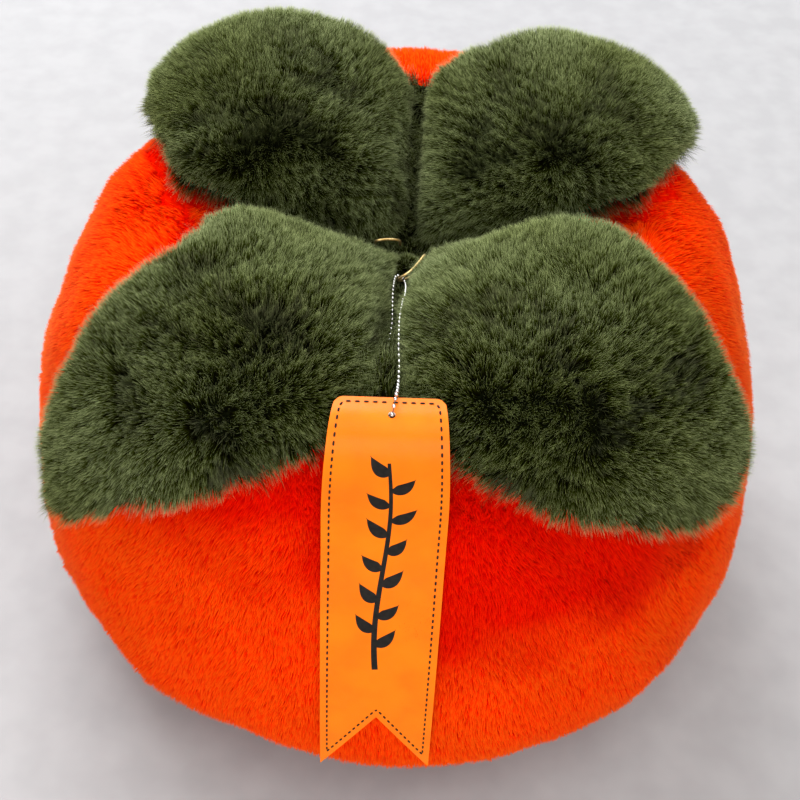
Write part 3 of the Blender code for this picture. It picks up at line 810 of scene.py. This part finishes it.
def build_chain(finish, wire_finish):
    """Pressed steel balls on wire: a ball, a short wire, a ball, all the way round."""
    route, run = smooth_path(np.array(CHAIN_ROUTE) + SHIFT, 500)
    beads = round(run / BEAD_PITCH)
    stations = (np.arange(beads) + 0.5) / beads * (len(route) - 1)
    at = np.arange(len(route))
    centres = np.stack([np.interp(stations, at, route[:, axis]) for axis in range(3)], -1)
    polar = np.linspace(0, math.pi, BALL_RINGS + 2)[1:-1]
    round_it = np.linspace(0, 2 * math.pi, BALL_SPOKES, endpoint=False)
    ball = np.stack([np.outer(np.sin(polar), np.cos(round_it)),
                     np.outer(np.sin(polar), np.sin(round_it)),
                     np.outer(np.cos(polar), np.ones(BALL_SPOKES))], -1).reshape(-1, 3)
    top, foot, last = len(ball), len(ball) + 1, len(ball) - BALL_SPOKES
    ball = np.concatenate([ball, [(0, 0, 1), (0, 0, -1)]]) * BEAD_DIAMETER / 2
    quads = grid_faces(BALL_RINGS, BALL_SPOKES, wrap=True)[:, ::-1]
    steps = range(BALL_SPOKES)
    caps = [(top, step, (step + 1) % BALL_SPOKES) for step in steps]
    caps += [(foot, last + (step + 1) % BALL_SPOKES, last + step) for step in steps]
    points = (centres[:, None] + ball[None]).reshape(-1, 3)
    faces = []
    for bead in range(beads):
        faces += (quads + bead * len(ball)).tolist()
        faces += [tuple(corner + bead * len(ball) for corner in cap) for cap in caps]
    angles = np.linspace(0, 2 * math.pi, 6, endpoint=False)[None] + np.zeros((len(route), 1))
    wire_points, wire_faces = tube(route, np.full(angles.shape, LINK_DIAMETER / 2), angles)
    of_wire = np.arange(len(faces) + len(wire_faces)) >= len(faces)
    faces += [tuple(corner + len(points) for corner in face) for face in wire_faces]
    mesh = mesh_from("ball_chain_steel", np.concatenate([points, wire_points]), faces)
    add_piece("ball_chain_steel", mesh, [finish, wire_finish], ["ball_chain"])
    mesh.polygons.foreach_set("material_index", of_wire.astype(np.int32))


def build_connector(finish):
    """The folded barrel that holds the two end balls, with a waist and rolled ends."""
    top = np.array(CHAIN_ROUTE[-1]) + SHIFT
    foot = np.array(CHAIN_ROUTE[0]) + SHIFT
    share = np.linspace(0, 1, 25)
    gap = END_GAP / np.linalg.norm(foot - top)
    path = top + (foot - top) * (gap + (1 - 2 * gap) * share[:, None])
    end = np.minimum(share, 1 - share)
    radius = CONNECTOR_DIAMETER / 2 * (1 - 0.35 * np.exp(-end / 0.02) - 0.12
                                       * np.exp(-((share - 0.5) / 0.14) ** 2)
                                       - 0.10 * np.exp(-((end - 0.13) / 0.02) ** 2))
    angles = np.linspace(0, 2 * math.pi, 20, endpoint=False)[None] + np.zeros((25, 1))
    points, faces = tube(path, radius[:, None] * np.ones((1, 20)), angles)
    mesh = mesh_from("connector_barrel", points, faces)
    add_piece("connector_barrel", mesh, [finish], ["chain_connector"])


class TagForm:
    """The tag's surface: a place for each share across it and distance down from its top."""

    def __init__(self):
        line = np.array([(0.0, *place) for place in TAG_FALL]) + (0, SHIFT[1], 0)
        self.fine, self.total = smooth_path(line, 300)
        self.runs = np.linspace(0, self.total, 300)
        forward = np.gradient(self.fine, axis=0)
        self.out = unit(np.stack([np.zeros(300), forward[:, 2], -forward[:, 1]], -1))

    def half_width(self, run):
        """Half the tag's width: it flares over the first stretch and is then parallel."""
        flare = np.clip(run / TAG_FLARE, 0, 1)
        return (TAG_TOP_WIDTH + (TAG_WIDTH - TAG_TOP_WIDTH) * flare * (2 - flare)) / 2

    def end(self, across):
        """Distance down to the swallow tail's edge."""
        return self.total - TAG_NOTCH * (1 - np.abs(across))

    def place(self, across, run, lift):
        """The line's point, moved sideways by across half widths and out by lift."""
        at = [np.interp(run, self.runs, self.fine[:, axis]) for axis in range(3)]
        out = [np.interp(run, self.runs, self.out[:, axis]) for axis in range(3)]
        curl = lift + 0.0007 * across ** 2 * np.clip(run / self.total, 0, 1)
        middle = SHIFT[0] + TAG_TOP_X + (TAG_FOOT_X - TAG_TOP_X) * run / self.total
        return np.stack([middle + across * self.half_width(run),
                         at[1] + out[1] * curl, at[2] + out[2] * curl], -1)


def build_tag(form, face_finish, edge_finish):
    """The tag: front and back grids with rounded top corners, joined round the edge, and a hole."""
    columns, rows = 33, 121
    across = np.linspace(-1, 1, columns)[None] + np.zeros((rows, 1))
    down = np.linspace(0, 1, rows)[:, None]
    corner = np.clip(TAG_CORNER - (1 - np.abs(across)) * TAG_TOP_WIDTH / 2, 0, None)
    start = TAG_CORNER - np.sqrt(TAG_CORNER ** 2 - corner ** 2)
    run = start + (form.end(across) - start) * down
    front = form.place(across, run, TAG_THICKNESS / 2).reshape(-1, 3)
    back = form.place(across, run, -TAG_THICKNESS / 2).reshape(-1, 3)
    quads = grid_faces(rows, columns)
    layer = rows * columns
    edge = np.concatenate([np.arange(columns - 1),
                           np.arange(rows - 1) * columns + columns - 1,
                           (rows - 1) * columns + np.arange(columns - 1, 0, -1),
                           np.arange(rows - 1, 0, -1) * columns])
    after = np.roll(edge, -1)
    rim = np.stack([edge, after, after + layer, edge + layer], -1)
    faces = quads[:, ::-1].tolist() + (quads + layer).tolist() + rim.tolist()
    mesh = bpy.data.meshes.new("tag_sheet")
    mesh.from_pydata(np.concatenate([front, back]).tolist(), [], faces)
    for finish in (face_finish, edge_finish):
        mesh.materials.append(finish)
    worn = np.zeros(len(faces), np.int32)
    worn[2 * len(quads):] = 1
    mesh.polygons.foreach_set("material_index", worn)
    hole_across = np.array(TAG_HOLE_ASIDE / (TAG_TOP_WIDTH / 2))
    hole_at = form.place(hole_across, np.array(TAG_HOLE_INSET), 0.0)
    bpy.ops.mesh.primitive_cylinder_add(vertices=32, radius=TAG_HOLE_DIAMETER / 2,
                                        depth=TAG_THICKNESS * 6, location=tuple(hole_at))
    cutter = bpy.context.object
    cutter.data.materials.append(edge_finish)
    mesh = applied(scratch(mesh), ("BOOLEAN", {"operation": "DIFFERENCE", "solver": "EXACT",
                                               "object": cutter, "material_mode": "TRANSFER"}))
    bpy.data.objects.remove(cutter)
    mesh.shade_smooth()
    mesh.set_sharp_from_angle(angle=math.radians(35))
    tag = add_piece("tag_sheet", mesh, [], ["tag"])


def stitch_line(form):
    """The stitches' line as across and run: an even distance inside the edge, all round."""
    side = 1 - STITCH_INSET / (TAG_WIDTH / 2)
    slope = math.hypot(1, TAG_NOTCH / (TAG_WIDTH / 2))
    low = form.end(side) - STITCH_INSET * slope
    apex = form.end(0.0) - STITCH_INSET * slope
    share = np.linspace(0, 1, 160)
    turn = np.linspace(0, math.pi / 2, 12)
    round_x = 0.10 * (1 - np.cos(turn))
    round_run = STITCH_CORNER * (1 - np.sin(turn))
    corner_x = side - round_x[::-1]
    top = np.stack([np.linspace(-corner_x[0], corner_x[0], 40), np.full(40, STITCH_INSET)], -1)
    right_corner = np.stack([corner_x, STITCH_INSET + round_run[::-1]], -1)
    shoulder = STITCH_INSET + STITCH_CORNER
    right = np.stack([np.full(160, side), shoulder + (low - shoulder) * share], -1)
    tail = np.stack([side * (1 - share), low + (apex - low) * share], -1)
    half = np.concatenate([top[20:], right_corner, right, tail])
    other = half[::-1] * (-1, 1)
    return np.concatenate([half, other])


def build_stitching(form, finish):
    """Black thread: short raised stitches with an even gap, each a small round-ended bead."""
    line = stitch_line(form)
    places = form.place(line[:, 0], line[:, 1], TAG_THICKNESS / 2 + 0.0001)
    run = np.concatenate([[0.0], np.cumsum(np.linalg.norm(np.diff(places, axis=0), axis=1))])
    count = round(run[-1] / STITCH_PITCH)
    middle = (np.arange(count) + 0.5) * run[-1] / count
    ends = [np.stack([np.interp(middle + move, run, places[:, axis]) for axis in range(3)], -1)
            for move in (-STITCH_LENGTH / 2, STITCH_LENGTH / 2)]
    share = np.linspace(0, 1, 9)
    radius = STITCH_WIDTH / 2 * np.sqrt(np.clip(1 - (2 * share - 1) ** 4, 0.02, 1))
    points, faces = [], []
    angles = np.linspace(0, 2 * math.pi, 6, endpoint=False)[None] + np.zeros((9, 1))
    for start, end in zip(*ends):
        path = start + (end - start) * share[:, None]
        made, around = tube(path, radius[:, None] * np.ones((1, 6)), angles)
        first = sum(len(part) for part in points)
        points.append(made)
        faces += [tuple(corner + first for corner in face) for face in around]
    mesh = mesh_from("tag_stitching", np.concatenate(points), faces)
    add_piece("tag_stitching", mesh, [finish])


def brush_stroke(form, middle, half, lift):
    """One stroke of ink: a strip along a line of (x, run), as wide as half says on each side."""
    way = unit(np.gradient(middle, axis=0))
    aside = np.stack([-way[:, 1], way[:, 0]], -1)
    share = np.array([-1.0, -0.5, 0.0, 0.5, 1.0])
    spots = middle[:, None] + aside[:, None] * half[:, None, None] * share[None, :, None]
    across = spots[..., 0] / form.half_width(spots[..., 1])
    return form.place(across, spots[..., 1], lift).reshape(-1, 3), len(middle), len(share)


def build_ink(form, finish):
    """A leafy sprig printed in black down the tag: a bowed stem with leaves to either side."""
    rng = np.random.default_rng(12)
    share = np.linspace(0, 1, 60)
    sway = 0.0024 * np.sin(share * 5.2 + 0.4)
    stem = np.stack([sway, SPRIG_TOP + (SPRIG_FOOT - SPRIG_TOP) * share], -1)
    strokes = [(stem, 0.0007 + 0.0007 * share)]
    along = np.linspace(0, 1, 30)[:, None]
    for number in range(SPRIG_LEAVES):
        at = 0.05 + 0.075 * number
        side = 1 if number % 2 else -1
        root = np.array([np.interp(at, share, stem[:, 0]),
                         SPRIG_TOP + (SPRIG_FOOT - SPRIG_TOP) * at])
        reach = SPRIG_LEAF_LENGTH * rng.uniform(0.88, 1.08)
        rise = math.radians(rng.uniform(32, 50))
        tip = np.array([side * math.cos(rise), -math.sin(rise)]) * reach
        bow = np.array([0.0, 0.0022]) * np.sin(along * math.pi)
        middle = root + tip * along + bow
        half = SPRIG_LEAF_HALF_WIDTH * np.sin(np.clip(along[:, 0] * 1.05, 0, 1) * math.pi) ** 0.8
        half *= 1 - 0.35 * along[:, 0]
        strokes.append((middle, half + 0.00012))
    points, faces = [], []
    for number, (middle, half) in enumerate(strokes):
        lift = TAG_THICKNESS / 2 + INK_LIFT + INK_STEP * (number % 2)
        made, rows, columns = brush_stroke(form, middle, half, lift)
        first = sum(len(part) for part in points)
        points.append(made)
        faces += (grid_faces(rows, columns) + first).tolist()
    mesh = mesh_from("tag_print", np.concatenate(points), faces)
    add_piece("tag_print", mesh, [finish])


def build_stage():
    """A pale matt floor that turns up into the backdrop far behind, by a quarter circle."""
    turn = np.linspace(0, math.pi / 2, 24)
    behind = np.concatenate([[-2.5, 1.0], 2.6 + 1.4 * np.sin(turn), [4.0]])
    height = np.concatenate([[0.0, 0.0], 1.4 * (1 - np.cos(turn)), [3.5]])
    points = [(x, y, z - 0.0005) for y, z in zip(behind, height) for x in (-3.0, 3.0)]
    mesh = mesh_from("floor", points, grid_faces(len(behind), 2).tolist())
    floor = bpy.data.objects.new("floor", mesh)
    bpy.context.scene.collection.objects.link(floor)
    mesh.materials.append(speckled_material("pale floor", "#9E9EA0", "#A4A4A6", 40.0, 0.8))


def add_light(name, place, aim, size, power, colour):
    """A square soft light."""
    lamp = bpy.data.lights.new(name, "AREA")
    lamp.size = size
    lamp.energy = power
    lamp.color = linear(colour)
    made = bpy.data.objects.new(name, lamp)
    made.location = place
    made.rotation_euler = (Vector(aim) - Vector(place)).to_track_quat("-Z", "Y").to_euler()
    bpy.context.scene.collection.objects.link(made)


def build_lights():
    """Window light from above and behind the left shoulder, and a pale room all round."""
    world = bpy.data.worlds.new("room")
    world.use_nodes = True
    world.node_tree.nodes["Background"].inputs["Color"].default_value = (*linear("#F2F4F8"), 1)
    world.node_tree.nodes["Background"].inputs["Strength"].default_value = 0.75
    bpy.context.scene.world = world
    bpy.context.scene.view_settings.view_transform = "Standard"
    add_light("window", (-0.7, 1.7, 1.7), (0, 0, 0.15), 1.8, 92, "#FFFFFF")
    add_light("ceiling", (0.3, -0.4, 2.2), (0, 0, 0.1), 1.8, 28, "#FFFAF2")
    add_light("room", (-0.2, -2.0, 0.8), (0, 0, 0.1), 1.6, 30, "#FFF6EA")


def build_camera():
    """The photograph's camera: its distance, elevation, aim and roll about the point looked at."""
    rise = math.radians(CAMERA_ELEVATION)
    back = np.array([0.0, -math.cos(rise), math.sin(rise)])
    forward, right = -back, np.array([1.0, 0.0, 0.0])
    up = np.cross(right, forward)
    across, above = (math.radians(angle) for angle in CAMERA_AIM)
    forward, right = (forward * math.cos(across) + right * math.sin(across),
                      right * math.cos(across) - forward * math.sin(across))
    forward, up = (forward * math.cos(above) + up * math.sin(above),
                   up * math.cos(above) - forward * math.sin(above))
    roll = math.radians(CAMERA_ROLL)
    right, up = (right * math.cos(roll) + up * math.sin(roll),
                 up * math.cos(roll) - right * math.sin(roll))
    lens = bpy.data.cameras.new("camera")
    lens.sensor_fit = "HORIZONTAL"
    lens.angle = math.radians(CAMERA_FIELD)
    made = bpy.data.objects.new("camera", lens)
    turned = Matrix(np.stack([right, up, -forward], -1).tolist()).to_4x4()
    turned.translation = Vector(back * CAMERA_DISTANCE) + Vector(LOOKED_AT)
    made.matrix_world = turned
    bpy.context.scene.collection.objects.link(made)
    bpy.context.scene.camera = made


def main():
    """Build every piece with its finish and finish the scene."""
    build_camera()
    # Metallised thread round a core: soft glints of gold from each turn of its lay
    build_cord(speckled_material("gold thread", "#C9A25A", "#E8CE92", 900.0, 0.38, 0.75))
    # Long acrylic fur: near black at the roots, a painted shade of the pile's depth, olive on the
    # way up and grey green at the tips, a painted light
    leaf_fur = fur_material(
        "green fur", ((0.0, "#030200"), (0.45, "#131202"), (0.75, "#38420F"), (1.0, "#CAD89E")),
        ((0.0, "#030200"), (1.0, "#CAD89E")),
        ((0.35, "#E6E6D2"), (0.65, "#FFFFFF")), 0.25, (0.5, "#C4CA98"))
    leaf_back = backing_material("green backing", "#0A0C04", "#14180A")
    # Short acrylic nap, orange where it lies: darker red at the roots, a painted shade, and paler
    # at the tips, a painted light; deep red where it stands below the leaves, a painted shade of
    # its depth
    body_fur = fur_material(
        "orange nap", ((0.0, "#E41000"), (0.5, "#FC3400"), (1.0, "#FF7212")),
        ((0.0, "#C40000"), (0.6, "#EC0200"), (1.0, "#FC1400")),
        ((0.35, "#FFE8DC"), (0.65, "#FFFFFF")), 0.12, (0.7, "#FF9458"))
    body_back = backing_material("orange backing", "#C00400", "#E01400")
    build_body(body_fur, body_back)
    build_leaves(leaf_fur, leaf_back)
    build_base(leaf_fur, leaf_back)
    build_pad(leaf_fur, leaf_back)
    # Plated balls and barrel mirror the room in small bright spots, and the wire is duller
    steel = speckled_material("nickel-plated steel", "#C4C4C2", "#E2E2E0", 500.0, 0.22, 1.0)
    build_chain(steel, speckled_material("bare wire", "#4A4A48", "#5E5E5A", 500.0, 0.5, 1.0))
    build_connector(steel)
    form = TagForm()
    # The cut edge shows the pale fabric that the faux leather is coated on
    build_tag(form, leather_material(),
              speckled_material("cut edge", "#E9E4DA", "#F6F2EA", 300.0, 0.7))
    # Matt waxed thread, and ink that dries a little glossier than the thread
    build_stitching(form, speckled_material("black thread", "#161310", "#26211C", 900.0, 0.6))
    build_ink(form, speckled_material("black ink", "#0E0C0A", "#1A1714", 500.0, 0.45))
    build_stage()
    build_lights()


main()
